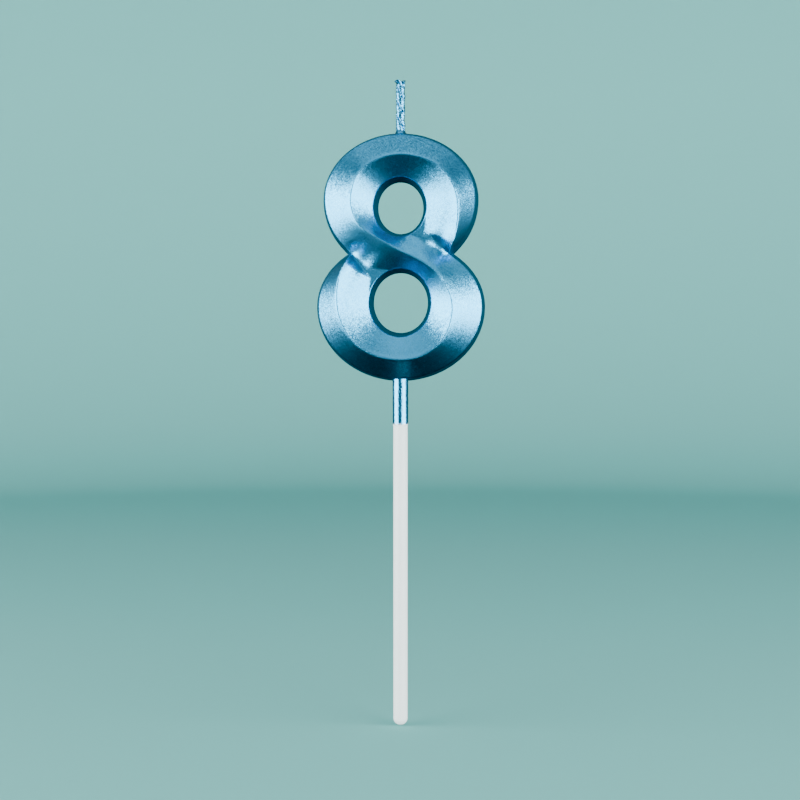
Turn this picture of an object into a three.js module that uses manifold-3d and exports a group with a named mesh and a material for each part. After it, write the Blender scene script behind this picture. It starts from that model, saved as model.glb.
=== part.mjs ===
// Number birthday candle: a wax numeral 8 with a ridged front and a flat back, cast round
// the end of a thin plastic pick and round a twisted wick.
//
// Millimetres. The candle stands upright: +Z runs up the pick to the wick, the ridged front
// looks to -Y, and the origin is the rounded tip of the pick, on the pick's axis.

import * as THREE from 'three';
import { mergeVertices } from 'three/addons/utils/BufferGeometryUtils.js';
import Module from 'manifold-3d';

// ---- Pick -----------------------------------------------------------------------------

const PICK_DIAMETER = 3.0;
const PICK_LENGTH = 80;
const PICK_END_CHAMFER = 0.3;     // on the end that is buried in the wax
const ROUND_SIDES = 24;
const TIP_RINGS = 6;

// ---- Painted collar on the pick, just below the numeral -------------------------------

const COLLAR_LENGTH = 9.4;        // below the numeral
const COLLAR_SEAT = 1.0;          // above that, inside the mouth of the socket
const COLLAR_WALL = 0.12;
const COLLAR_CLEARANCE = 0.02;    // between the pick and the coat

// ---- Numeral: outline of the front edge, two lobes that cross at the waist ------------
// Each lobe is half an ellipse above its widest line and half of another below it.

const UPPER_LOBE = { halfWidth: 15.7, rise: 13.35, drop: 14.9 };
const LOWER_LOBE = { halfWidth: 17.1, rise: 13.6, drop: 15.0 };
const LOBE_SPACING = 22.4;        // between the two widest lines

// Holes at their front edge. The lift is from the lobe's widest line to the hole's centre.
const UPPER_HOLE = { halfWidth: 5.5, halfHeight: 6.15, lift: -1.7 };
const LOWER_HOLE = { halfWidth: 6.45, halfHeight: 7.05, lift: 0.8 };

// Heights above the flat back.
const RIDGE_HEIGHT = 8.4;
const OUTER_EDGE_HEIGHT = 4.4;
const HOLE_EDGE_HEIGHT = 5.4;

// The mould opens to the back, so towards it the outline grows and the holes shrink.
const OUTER_DRAFT = 0.65;
const HOLE_DRAFT = 0.8;

// Wax left between each hole and what is cast in beside it.
const WAX_OVER_PICK = 2.1;
const WAX_UNDER_WICK = 1.5;
const CAST_CLEARANCE = 0.05;      // round the pick, the collar and the wick

// ---- Ridge: one line from the right notch, over the top, across and round the bottom --

// Loop knots are [degrees about the hole, share of the way from the hole to the outline].
const UPPER_RIDGE = [
  [330, 0.85], [355, 0.68], [20, 0.605], [47, 0.57], [78, 0.5],
  [108, 0.485], [140, 0.495], [172, 0.445], [197, 0.41], [212, 0.36],
];
const LOWER_RIDGE = [
  [36, 0.39], [6, 0.4], [343, 0.44], [317, 0.51], [287, 0.555],
  [253, 0.555], [225, 0.58], [196, 0.585], [172, 0.643], [152, 0.8],
];
// Waist knots are [share of the half waist, share of the way from lower to upper hole].
const WAIST_RIDGE = [[-0.56, 1.035], [-0.275, 0.795], [0, 0.555], [0.284, 0.34], [0.567, 0.1]];

// Towards the left notch the ridge dies away: how blunt it gets, and over what length.
const RIDGE_END = { blunt: 2.6, length: 5.5 };

// ---- Wick: waxed plies laid up together -----------------------------------------------

const WICK_DIAMETER = 2.0;
const WICK_LENGTH = 10.4;         // above the numeral
const WICK_LAY = 9;               // height of one full turn of a ply
const PLY_COUNT = 3;
const PLY_CLEARANCE = 0.04;
const PLY_SIDES = 8;
const PLY_STEPS_PER_TURN = 18;

// ---- Fineness of the numeral ----------------------------------------------------------

const LOOP_COLUMNS = 48;
const DIAGONAL_COLUMNS = 8;
const ROWS = 4;
const CURVE_SAMPLES = 720;

// ---- Finishes -------------------------------------------------------------------------

const metallicBlue = { color: 0x2f86b4, roughness: 0.38, metalness: 0.75 };
const plasticWhite = { color: 0xe4e4e6, roughness: 0.5, metalness: 0 };

// ---- Places that follow from the sizes ------------------------------------------------

const pickRadius = PICK_DIAMETER / 2;
const collarInner = pickRadius + COLLAR_CLEARANCE;
const collarOuter = collarInner + COLLAR_WALL;
const wickRadius = WICK_DIAMETER / 2;

// The pick lies in the middle of the side wall.
const backY = OUTER_EDGE_HEIGHT / 2;

const bandBelow = LOWER_LOBE.drop + OUTER_DRAFT + LOWER_HOLE.lift - LOWER_HOLE.halfHeight;
const bandAbove = UPPER_LOBE.rise + OUTER_DRAFT - UPPER_HOLE.lift - UPPER_HOLE.halfHeight;
const pickEmbed = bandBelow - WAX_OVER_PICK;
const wickEmbed = bandAbove - WAX_UNDER_WICK;

const numeralBottom = PICK_LENGTH - pickEmbed;
const lowerLobeZ = numeralBottom + LOWER_LOBE.drop + OUTER_DRAFT;
const upperLobeZ = lowerLobeZ + LOBE_SPACING;
const lowerHoleZ = lowerLobeZ + LOWER_HOLE.lift;
const upperHoleZ = upperLobeZ + UPPER_HOLE.lift;
const numeralTop = upperLobeZ + UPPER_LOBE.rise + OUTER_DRAFT;

// ---- Plane curves: lists of points {x, z} ---------------------------------------------

const FULL_TURN = 2 * Math.PI;
const point = (x, z) => ({ x, z });
const mirrored = (p) => point(-p.x, p.z);
const between = (a, b, t) => point(a.x + (b.x - a.x) * t, a.z + (b.z - a.z) * t);
const distance = (a, b) => Math.hypot(a.x - b.x, a.z - b.z);
const row = (count, make) => Array.from({ length: count }, (_, i) => make(i));

// The right-hand notch, where the two lobes cross when both are grown by `grow`.
function notchPoint(grow) {
  const halfWidthAt = (lobe, reach, z) => (lobe.halfWidth + grow)
    * Math.sqrt(Math.max(0, 1 - (z / (reach + grow)) ** 2));
  const upperAt = (z) => halfWidthAt(UPPER_LOBE, UPPER_LOBE.drop, upperLobeZ - z);
  const lowerAt = (z) => halfWidthAt(LOWER_LOBE, LOWER_LOBE.rise, z - lowerLobeZ);
  let low = upperLobeZ - UPPER_LOBE.drop - grow;
  let high = lowerLobeZ + LOWER_LOBE.rise + grow;
  while (high - low > 1e-9) {
    const middle = (low + high) / 2;
    if (upperAt(middle) < lowerAt(middle)) low = middle;
    else high = middle;
  }
  return point(lowerAt(low), low);
}

// The outside of a grown lobe from the right notch to the left one, the long way round.
// turn is 1 over the top of the upper lobe and -1 round the bottom of the lower one.
function lobeArc(lobe, centreZ, grow, turn) {
  const notch = notchPoint(grow);
  const start = turn > 0 ? lobe.drop : lobe.rise;
  const dip = Math.asin(Math.abs(notch.z - centreZ) / (start + grow));
  const arc = row(CURVE_SAMPLES + 1, (i) => {
    const t = turn * ((Math.PI + 2 * dip) * (i / CURVE_SAMPLES) - dip);
    const height = (Math.sin(t) > 0 ? lobe.rise : lobe.drop) + grow;
    return point((lobe.halfWidth + grow) * Math.cos(t), centreZ + height * Math.sin(t));
  });
  return [notch, ...arc.slice(1, -1), mirrored(notch)];
}

const upperArc = (grow) => lobeArc(UPPER_LOBE, upperLobeZ, grow, 1);
const lowerArc = (grow) => lobeArc(LOWER_LOBE, lowerLobeZ, grow, -1);

// Edge of a hole, shrunk by `shrink`, in the direction of p from its centre.
function holeEdge(hole, centreZ, shrink, p) {
  const across = p.x / (hole.halfWidth - shrink);
  const up = (p.z - centreZ) / (hole.halfHeight - shrink);
  const scale = 1 / Math.hypot(across, up);
  return point(p.x * scale, centreZ + (p.z - centreZ) * scale);
}

// Directions of a curve's points from a hole's centre, carried on past half a turn.
function directions(curve, centreZ) {
  const angles = [];
  for (const p of curve) {
    const angle = Math.atan2(p.z - centreZ, p.x);
    const last = angles.length ? angles[angles.length - 1] : angle;
    angles.push(angle + FULL_TURN * Math.round((last - angle) / FULL_TURN));
  }
  return angles;
}

// Place on a curve, as a fractional index, where its direction first reaches `angle`.
function placeOf(angles, angle) {
  const turn = Math.sign(angle - angles[0]);
  const next = angles.findIndex((a, i) => i > 0 && (a - angle) * turn >= 0);
  if (next < 0) return angles.length - 1;
  return next - (angles[next] - angle) / (angles[next] - angles[next - 1]);
}

function pointAt(curve, place) {
  const i = Math.min(curve.length - 2, Math.floor(place));
  return between(curve[i], curve[i + 1], place - i);
}

function ridgeCurve() {
  const notch = notchPoint(0);
  const loopKnots = (knots, hole, centreZ, arc) => {
    const angles = directions(arc, centreZ);
    const turn = Math.sign(angles[angles.length - 1] - angles[0]);
    return knots.map(([degrees, share]) => {
      const raw = THREE.MathUtils.degToRad(degrees);
      const turns = turn * Math.ceil(turn * (angles[0] - raw) / FULL_TURN);
      const rim = pointAt(arc, placeOf(angles, raw + turns * FULL_TURN));
      return between(holeEdge(hole, centreZ, 0, rim), rim, share);
    });
  };
  const gapFoot = lowerHoleZ + LOWER_HOLE.halfHeight;
  const gap = upperHoleZ - UPPER_HOLE.halfHeight - gapFoot;
  const knots = [
    notch,
    ...loopKnots(UPPER_RIDGE, UPPER_HOLE, upperHoleZ, upperArc(0)),
    ...WAIST_RIDGE.map(([across, up]) => point(across * notch.x, gapFoot + up * gap)),
    ...loopKnots(LOWER_RIDGE, LOWER_HOLE, lowerHoleZ, lowerArc(0)),
    mirrored(notch),
  ];
  const curve = new THREE.CatmullRomCurve3(knots.map((p) => new THREE.Vector3(p.x, 0, p.z)));
  return curve.getPoints(CURVE_SAMPLES).map((p) => point(p.x, p.z));
}

const ridge = ridgeCurve();

// ---- Plan of the numeral: four bands of columns that share their borders --------------
// Two bands lie between the outline and the ridge, and two between a hole and the line that
// surrounds it. A column is a row of points from the edge to that line. The straight columns
// from each notch to the ridge are the borders where the bands of one loop meet the other's.

function planBands(grow, shrink) {
  const notch = notchPoint(grow);
  const middle = CURVE_SAMPLES / 2;
  const overTop = directions(ridge, upperHoleZ);
  const roundBottom = directions(ridge.slice(middle), lowerHoleZ);
  const column = (edge, inner) => row(ROWS + 1, (i) => between(edge, inner, i / ROWS));

  // The ridge's own ends are the notches, whatever the outline has grown to.
  const onRidge = (place) => {
    if (place <= 0) return notch;
    return place >= CURVE_SAMPLES ? mirrored(notch) : pointAt(ridge, place);
  };
  const outerBand = (arc, centreZ, places) => {
    const angles = directions(arc, centreZ);
    const span = angles[angles.length - 1] - angles[0];
    return places.map((place, i) => {
      const edge = pointAt(arc, placeOf(angles, angles[0] + span * (i / LOOP_COLUMNS)));
      return column(edge, onRidge(place));
    });
  };

  const frontNotch = notchPoint(0);
  const upperStart = Math.atan2(frontNotch.z - upperHoleZ, frontNotch.x);
  const lowerStart = Math.atan2(frontNotch.z - lowerHoleZ, frontNotch.x);
  const upperSpan = Math.PI - 2 * upperStart;
  const lowerSpan = Math.PI + 2 * lowerStart;
  const upperPlaces = row(LOOP_COLUMNS + 1, (i) => (
    i === 0 ? 0 : placeOf(overTop, upperStart + upperSpan * (i / LOOP_COLUMNS))));
  const lowerPlaces = row(LOOP_COLUMNS + 1, (i) => (i === LOOP_COLUMNS ? CURVE_SAMPLES
    : middle + placeOf(roundBottom, lowerStart - lowerSpan * (i / LOOP_COLUMNS))));
  const leftFoot = upperPlaces[LOOP_COLUMNS];
  const rightFoot = lowerPlaces[0];
  const diagonal = row(DIAGONAL_COLUMNS + 1, (i) => (
    onRidge(leftFoot + (rightFoot - leftFoot) * (i / DIAGONAL_COLUMNS))));

  const upperOuter = outerBand(upperArc(grow), upperHoleZ, upperPlaces);
  const lowerOuter = outerBand(lowerArc(grow), lowerHoleZ, lowerPlaces);
  const ridgeOf = (band) => band.map((points) => points[ROWS]);
  const rightBorder = lowerOuter[0];
  const leftBorder = upperOuter[LOOP_COLUMNS];
  const upperLoop = [
    ...ridgeOf(upperOuter), ...diagonal.slice(1), ...rightBorder.slice(0, -1).reverse(),
  ];
  const lowerLoop = [
    ...ridgeOf(lowerOuter), ...leftBorder.slice(1), ...diagonal.slice(1),
  ];
  const innerBand = (loop, hole, centreZ) => (
    loop.map((p) => column(holeEdge(hole, centreZ, shrink, p), p)));
  return [
    { columns: upperOuter, outside: true },
    { columns: lowerOuter, outside: true },
    { columns: innerBand(upperLoop, UPPER_HOLE, upperHoleZ), outside: false },
    { columns: innerBand(lowerLoop, LOWER_HOLE, lowerHoleZ), outside: false },
  ];
}

// ---- Height of the front face above the back ------------------------------------------

// Nearest point of a curve to p: how far off, where, and how far along the curve.
function nearest(curve, p) {
  let best = { gap: Infinity, at: curve[0], along: 0 };
  for (let i = 0; i + 1 < curve.length; i += 1) {
    const [a, b] = [curve[i], curve[i + 1]];
    const length = distance(a, b);
    const raw = ((p.x - a.x) * (b.x - a.x) + (p.z - a.z) * (b.z - a.z)) / length ** 2;
    const at = between(a, b, THREE.MathUtils.clamp(raw, 0, 1));
    const gap = distance(at, p);
    if (gap < best.gap) best = { gap, at, along: i / (curve.length - 1) };
  }
  return best;
}

// The smaller of two distances, rounded into one another over the width `blend`.
function softMin(a, b, blend) {
  const overlap = Math.max(blend - Math.abs(a - b), 0);
  return Math.min(a, b) - (overlap > 0 ? overlap ** 2 / (4 * blend) : 0);
}

const lengthOf = (curve) => (
  curve.slice(1).reduce((sum, p, i) => sum + distance(p, curve[i]), 0));
const wholeHole = (hole, centreZ) => row(CURVE_SAMPLES / 4 + 1, (i) => {
  const t = FULL_TURN * i / (CURVE_SAMPLES / 4);
  return point(hole.halfWidth * Math.cos(t), centreZ + hole.halfHeight * Math.sin(t));
});

const upperEdge = upperArc(0);
const lowerEdge = lowerArc(0);
const upperHoleEdge = wholeHole(UPPER_HOLE, upperHoleZ);
const lowerHoleEdge = wholeHole(LOWER_HOLE, lowerHoleZ);
const firstRidge = ridge.slice(0, CURVE_SAMPLES / 2 + 1);
const lastRidge = ridge.slice(CURVE_SAMPLES / 2);
const lastLength = lengthOf(lastRidge);

// The face climbs from the nearest edge to the ridge. The share of the climb is the distance
// to the edge over the sum of the distances to edge and ridge, so the facet between two
// parallel lines is flat, and the ground inside the waist is a smooth saddle.
function frontHeight(p) {
  const first = nearest(firstRidge, p);
  const last = nearest(lastRidge, p);
  const toRidge = softMin(first.gap, last.gap, distance(first.at, last.at) / 2);
  const left = last.gap < first.gap ? (1 - last.along) * lastLength : Infinity;
  const fade = Math.max(0, 1 - left / RIDGE_END.length);
  const bluntGap = Math.hypot(toRidge, RIDGE_END.blunt * fade ** 2);

  const toOutline = Math.min(nearest(upperEdge, p).gap, nearest(lowerEdge, p).gap);
  const toHole = Math.min(nearest(upperHoleEdge, p).gap, nearest(lowerHoleEdge, p).gap);
  const toEdge = Math.max(0, softMin(toOutline, toHole, toRidge));
  const edgeHeight = (OUTER_EDGE_HEIGHT * toHole + HOLE_EDGE_HEIGHT * toOutline)
    / (toHole + toOutline);
  const share = toEdge > 0 ? toEdge / (toEdge + bluntGap) : 0;
  return edgeHeight + (RIDGE_HEIGHT - edgeHeight) * share;
}

// ---- Solids ---------------------------------------------------------------------------

const wasm = await Module();
wasm.setup();

function closedGeometry(geometry) {
  geometry.deleteAttribute('normal');
  geometry.deleteAttribute('uv');
  return mergeVertices(geometry, 1e-5);
}

function toManifold(geometry) {
  const merged = closedGeometry(geometry);
  return new wasm.Manifold(new wasm.Mesh({
    numProp: 3,
    vertProperties: new Float32Array(merged.attributes.position.array),
    triVerts: new Uint32Array(merged.index.array),
  }));
}

function fromManifold(solid) {
  const { vertProperties, triVerts } = solid.getMesh();
  const geometry = new THREE.BufferGeometry();
  geometry.setAttribute('position', new THREE.BufferAttribute(vertProperties, 3));
  geometry.setIndex(new THREE.BufferAttribute(triVerts, 1));
  geometry.computeVertexNormals();
  return geometry;
}

// A solid of revolution about the Z axis, from a profile of [radius, z] that runs from the
// bottom to the top on the outside.
function turned(profile) {
  const points = profile.map(([radius, z]) => new THREE.Vector2(radius, z));
  return new THREE.LatheGeometry(points, ROUND_SIDES).rotateX(Math.PI / 2);
}

// Faces between two neighbouring columns of points; those that shrink to a line are left out.
function addStrip(triangles, a, b, flip) {
  const apart = (p, q) => p.distanceTo(q) > 1e-6;
  const add = (p, q, r) => {
    const whole = apart(p, q) && apart(q, r) && apart(r, p);
    if (whole) triangles.push(p, ...(flip ? [r, q] : [q, r]));
  };
  for (let i = 0; i + 1 < a.length; i += 1) {
    add(a[i], b[i], b[i + 1]);
    add(a[i], b[i + 1], a[i + 1]);
  }
}

function numeralBlank() {
  const front = planBands(0, 0);
  const back = planBands(OUTER_DRAFT, HOLE_DRAFT);
  const triangles = [];
  front.forEach(({ columns, outside }, k) => {
    // Bands 0 and 2 run anticlockwise as seen from the front, the other two clockwise.
    const clockwise = k % 2 === 1;
    const flip = clockwise === outside;
    const raised = columns.map((points) => (
      points.map((p) => new THREE.Vector3(p.x, backY - frontHeight(p), p.z))));
    const flat = back[k].columns.map((points) => (
      points.map((p) => new THREE.Vector3(p.x, backY, p.z))));
    const last = outside ? columns.length - 1 : columns.length;
    for (let i = 0; i < last; i += 1) {
      const j = (i + 1) % columns.length;
      addStrip(triangles, raised[i], raised[j], flip);
      addStrip(triangles, flat[i], flat[j], !flip);
      addStrip(triangles, [raised[i][0], flat[i][0]], [raised[j][0], flat[j][0]], !flip);
    }
  });
  return new THREE.BufferGeometry().setFromPoints(triangles);
}

function makeNumeral() {
  const mouth = collarOuter + CAST_CLEARANCE;
  const bore = pickRadius + CAST_CLEARANCE;
  const step = numeralBottom + COLLAR_SEAT + CAST_CLEARANCE;
  const socketTop = PICK_LENGTH + CAST_CLEARANCE;
  const below = numeralBottom - OUTER_EDGE_HEIGHT;
  const socket = turned([
    [0, below], [mouth, below], [mouth, step], [bore, step], [bore, socketTop], [0, socketTop],
  ]);
  const channel = wickRadius + CAST_CLEARANCE;
  const channelFoot = numeralTop - wickEmbed - CAST_CLEARANCE;
  const above = numeralTop + OUTER_EDGE_HEIGHT;
  const wickChannel = turned([
    [0, channelFoot], [channel, channelFoot], [channel, above], [0, above],
  ]);
  const solid = toManifold(numeralBlank())
    .subtract(toManifold(socket))
    .subtract(toManifold(wickChannel));
  return fromManifold(solid);
}

function makePick() {
  const dome = row(TIP_RINGS, (i) => {
    const angle = (Math.PI / 2) * (i / TIP_RINGS);
    return [pickRadius * Math.sin(angle), pickRadius * (1 - Math.cos(angle))];
  });
  return turned([
    ...dome,
    [pickRadius, pickRadius],
    [pickRadius, PICK_LENGTH - PICK_END_CHAMFER],
    [pickRadius - PICK_END_CHAMFER, PICK_LENGTH],
    [0, PICK_LENGTH],
  ]);
}

function makeCollar() {
  const foot = numeralBottom - COLLAR_LENGTH;
  const top = numeralBottom + COLLAR_SEAT;
  return turned([
    [collarInner, foot], [collarOuter, foot], [collarOuter, top], [collarInner, top],
    [collarInner, foot],
  ]);
}

// Centre line of a ply; seen from the front it leans to the left as it climbs.
class PlyLine extends THREE.Curve {
  constructor(radius, foot, top, phase) {
    super();
    Object.assign(this, { radius, foot, top, phase });
  }

  getPoint(t, target = new THREE.Vector3()) {
    const z = this.foot + (this.top - this.foot) * t;
    const angle = this.phase - FULL_TURN * (z / WICK_LAY);
    return target.set(this.radius * Math.cos(angle), this.radius * Math.sin(angle), z);
  }
}

// Shortest distance between two neighbouring ply lines of the same lay.
function plySpacing(radius) {
  const gaps = row(401, (i) => {
    const t = (i - 200) / 200;
    const chord = 2 * radius * Math.sin((FULL_TURN / PLY_COUNT + t) / 2);
    return Math.hypot(chord, WICK_LAY * t / FULL_TURN);
  });
  return Math.min(...gaps);
}

// The thickest ply that leaves the clearance between neighbours inside the wick's diameter.
function plyRadiusFor(outer) {
  let low = 0;
  let high = outer / 2;
  while (high - low > 1e-6) {
    const middle = (low + high) / 2;
    if (plySpacing(outer - middle) - 2 * middle > PLY_CLEARANCE) low = middle;
    else high = middle;
  }
  return low;
}

function makePly(index) {
  const radius = plyRadiusFor(wickRadius);
  const foot = numeralTop - wickEmbed + radius;
  const top = numeralTop + WICK_LENGTH;
  const line = new PlyLine(wickRadius - radius, foot, top, FULL_TURN * (index / PLY_COUNT));
  const section = new THREE.Shape(row(PLY_SIDES, (i) => {
    const angle = FULL_TURN * (i / PLY_SIDES);
    return new THREE.Vector2(radius * Math.cos(angle), radius * Math.sin(angle));
  }));
  const steps = Math.ceil(PLY_STEPS_PER_TURN * (top - foot) / WICK_LAY);
  return new THREE.ExtrudeGeometry(section, { steps, extrudePath: line, bevelEnabled: false });
}

// ---- Assembly -------------------------------------------------------------------------

function node(name, geometry, finish) {
  const mesh = new THREE.Mesh(geometry, new THREE.MeshStandardMaterial(finish));
  mesh.name = name;
  return mesh;
}

const candle = new THREE.Group();
candle.add(node('numeral', makeNumeral(), metallicBlue));
candle.add(node('pick', makePick(), plasticWhite));
candle.add(node('pick_collar', makeCollar(), metallicBlue));
for (let i = 0; i < PLY_COUNT; i += 1) {
  candle.add(node(`wick_ply_${i + 1}`, makePly(i), metallicBlue));
}

export default candle;
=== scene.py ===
"""Number birthday candle, laid out as an add-on: a wax numeral 8 in metallic lacquer with a
ridged front and a flat back, a twisted wick at the top and a white pick at the bottom.

Lengths are in metres. The pick's tip is at the origin, +Z runs up to the wick, and the ridged
front looks to -Y.
"""

import math

import bmesh
import bpy
import numpy as np
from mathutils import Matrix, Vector


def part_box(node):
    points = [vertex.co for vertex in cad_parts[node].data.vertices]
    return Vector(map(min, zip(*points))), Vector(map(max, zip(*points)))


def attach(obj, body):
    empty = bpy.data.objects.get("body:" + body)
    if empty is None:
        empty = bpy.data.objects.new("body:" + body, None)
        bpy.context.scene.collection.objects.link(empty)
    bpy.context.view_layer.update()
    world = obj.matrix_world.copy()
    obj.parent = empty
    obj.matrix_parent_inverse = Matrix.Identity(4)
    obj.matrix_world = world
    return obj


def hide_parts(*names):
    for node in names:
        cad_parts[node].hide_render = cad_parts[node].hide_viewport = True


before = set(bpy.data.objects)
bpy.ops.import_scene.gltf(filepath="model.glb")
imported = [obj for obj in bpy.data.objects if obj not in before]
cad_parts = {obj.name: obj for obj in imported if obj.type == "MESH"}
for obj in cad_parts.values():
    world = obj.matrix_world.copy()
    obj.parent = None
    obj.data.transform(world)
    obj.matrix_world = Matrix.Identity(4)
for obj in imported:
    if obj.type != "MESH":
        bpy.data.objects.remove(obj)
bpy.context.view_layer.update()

bl_info = {
    "name": "Number Birthday Candle",
    "version": (1, 0, 0),
    "blender": (4, 5, 0),
    "location": "3D View > Sidebar > Candle",
    "description": "Builds a numeral 8 candle with its wick, painted pick and a small studio",
    "category": "Add Mesh",
}

NUMERAL_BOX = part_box("numeral")
PICK_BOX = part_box("pick")
COLLAR_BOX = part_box("pick_collar")
WICK_NODES = ("wick_ply_1", "wick_ply_2", "wick_ply_3")
WICK_TOP = max(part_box(name)[1].z for name in WICK_NODES)
WICK_FOOT = min(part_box(name)[0].z for name in WICK_NODES)

MM = 0.001
TURN = 2 * math.pi
CURVE_SAMPLES = 720

# ---- Ridge of the numeral ----------------------------------------------------------------
# Knots on a loop are (degrees about the eye, share of the way from the eye to the outline).
# Knots at the waist are (share of the half waist, share of the gap between the two eyes).

UPPER_RIDGE = (
    (330, 0.85), (355, 0.68), (20, 0.605), (47, 0.57), (78, 0.5),
    (108, 0.485), (140, 0.495), (172, 0.445), (197, 0.41), (212, 0.36),
)
WAIST_RIDGE = ((-0.56, 1.035), (-0.275, 0.795), (0, 0.555), (0.284, 0.34), (0.567, 0.1))
LOWER_RIDGE = (
    (36, 0.39), (6, 0.4), (343, 0.44), (317, 0.51), (287, 0.555),
    (253, 0.555), (225, 0.58), (196, 0.585), (172, 0.643), (152, 0.8),
)


# ---- Fixed sizes -------------------------------------------------------------------------

CAST_GAP = 0.05 * MM  # between the wax and what it is cast round
CUTTER_OVERRUN = 4 * MM  # how far a cutter sticks out of the wax
EDGE_FADE = 1.2 * MM  # edge roundings die away this close to a notch
APART = 4 * MM  # feet on the ridge further apart than this lie on different stretches
SETTLE = 1.5 * MM  # how far in from the rim the poured back sinks
BACK_RIPPLE = 4 * MM  # pitch of the unevenness of the back
PLY_GAP = 0.03 * MM  # between a ply and the plane halfway to its neighbour
COAT_LIMIT = 0.03 * MM  # how far the wick's coat may stand out of its diameter
LUMP_PITCH = 0.3 * MM  # height of the lumps of the coat
ROOT_POOL = 0.08 * MM  # how much thicker the coat is at the root
ROOT_FALL = 0.35 * MM  # height over which that thickness falls away
HOOK_RISE = 1.0 * MM  # height over which a cut end leans out
COLLAR_LIFT = 0.2 * MM  # mean height of the coat's lower edge over the collar's box
COLLAR_TAPER = 0.5 * MM  # height over which the coat thins to its lower edge
COLLAR_RUN = 0.012 * MM  # unevenness of the coat from its running
RUN_PITCH = 6 * MM  # height of that unevenness
FLOOR_DROP = 0.2 * MM  # how far the floor lies under the tip

# ---- Studio ------------------------------------------------------------------------------

CAMERA_PLACE = (0.0166, -0.355, 0.0833)
CAMERA_AIM = (-0.0001, 0, 0.0688)
LIGHT_AIM = (0, 0, 0.1)

# Name, setting of the power, direction (across, forward, up), distance, width and height.
LIGHTS = (
    ("left_softbox", "side_light", (-0.89, -0.46, 0), 0.6, (0.66, 0.42)),
    ("right_softbox", "side_light", (0.82, -0.57, 0), 0.6, (0.7, 0.42)),
    ("top_softbox", "top_light", (0, -0.34, 0.94), 0.7, (1.1, 0.45)),
)

# The colour all round, and the zones laid over it: the axis of the direction, where along it
# the zone starts and where it is full, and its colour.
SURROUND = (0.2, 0.31, 0.36, 1)
ZONES = (
    ("Y", 0.1, 0.45, (0.3, 0.42, 0.42, 1)),
    ("Y", 0.72, 0.92, (0.02, 0.15, 0.18, 1)),
    ("Z", -0.12, -0.5, (0.003, 0.01, 0.015, 1)),
)


# ---- Settings ----------------------------------------------------------------------------


def length(name, description, millimetres):
    """A length property, given in millimetres."""
    return bpy.props.FloatProperty(
        name=name, description=description, default=millimetres * MM,
        min=0.0, precision=5, subtype="DISTANCE", unit="LENGTH",
    )


def share(name, description, default):
    """A property between 0 and 1."""
    return bpy.props.FloatProperty(
        name=name, description=description, default=default,
        min=0.0, max=1.0, subtype="FACTOR",
    )


def colour(name, description, default):
    """A colour property, linear red, green and blue."""
    return bpy.props.FloatVectorProperty(
        name=name, description=description, default=default,
        size=3, min=0.0, max=1.0, subtype="COLOR",
    )


class NumeralSettings(bpy.types.PropertyGroup):
    """Sizes of the wax numeral."""

    upper_width: length("Upper lobe", "Half the width of the upper lobe's front edge", 15.7)
    upper_rise: length("Upper rise", "From the upper lobe's widest line to its top", 13.35)
    upper_drop: length("Upper drop", "From that line to the ellipse's lowest point", 14.9)
    lower_width: length("Lower lobe", "Half the width of the lower lobe's front edge", 17.1)
    lower_rise: length("Lower rise", "From the lower lobe's widest line to its top", 13.6)
    lower_drop: length("Lower drop", "From that line to the lobe's lowest point", 15.0)
    upper_eye_width: length("Upper eye", "Half the width of the upper eye", 5.5)
    upper_eye_height: length("Upper eye height", "Half the height of the upper eye", 6.15)
    upper_eye_sink: length("Upper eye sink", "Eye's centre below the lobe's widest line", 1.7)
    lower_eye_width: length("Lower eye", "Half the width of the lower eye", 6.45)
    lower_eye_height: length("Lower eye height", "Half the height of the lower eye", 7.05)
    lower_eye_lift: length("Lower eye lift", "Eye's centre above the lobe's widest line", 0.8)
    outer_edge: length("Outer edge", "Height of the outline's front edge over the back", 4.4)
    eye_edge: length("Eye edge", "Height of an eye's front edge over the back", 5.4)
    outer_draft: length("Outer draft", "How much the outline grows towards the back", 0.65)
    eye_draft: length("Eye draft", "How much an eye shrinks towards the back", 0.8)
    edge_round: length("Edge rounding", "How far the rounding of a front edge reaches", 0.28)
    back_round: length("Back rounding", "How far the rounding of a back edge reaches", 0.2)
    crest_round: length("Crest rounding", "How blunt the ridge is", 0.16)
    ridge_start: length("Ridge start", "Length over which it rises from the right notch", 2.2)
    ridge_end: length("Ridge end", "Length over which it falls to the left notch", 3.0)
    ridge_hold: length("Ridge hold", "How far from a notch the ridge has its full hold", 2.5)
    facet_blend: length("Facet blend", "How far facets run into one another at the waist", 1.6)
    valley_round: length("Valley rounding", "How wide the bottoms of the valleys are", 0.9)
    valley_reach: length("Valley reach", "How far a lobe's outline goes on past a notch", 6.8)
    back_sag: length("Back sag", "How far the poured back sinks as the wax cools", 0.14)
    loop_columns: bpy.props.IntProperty(
        name="Columns", description="Columns round each loop", default=300, min=24)
    facet_rows: bpy.props.IntProperty(
        name="Rows", description="Rows from an edge up to the ridge", default=22, min=6)


class WickSettings(bpy.types.PropertyGroup):
    """Sizes of the twisted wick."""

    diameter: length("Diameter", "Diameter of the laid-up wick", 2.0)
    ply_diameter: length("Ply diameter", "Diameter of one ply", 0.896)
    lay: length("Lay", "Height of one full turn of a ply", 9.0)
    strand_pitch: length("Strand pitch", "Height of one turn of the strands in a ply", 2.4)
    groove: length("Groove", "Depth of the grooves between strands under the coat", 0.035)
    fill: length("Fill", "How far from a ply's centre the coat fills its grooves", 0.68)
    lump: length("Lumps", "How lumpy the coat is", 0.07)
    hook: length("Hook", "How far the cut end of one ply leans out", 0.55)


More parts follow.
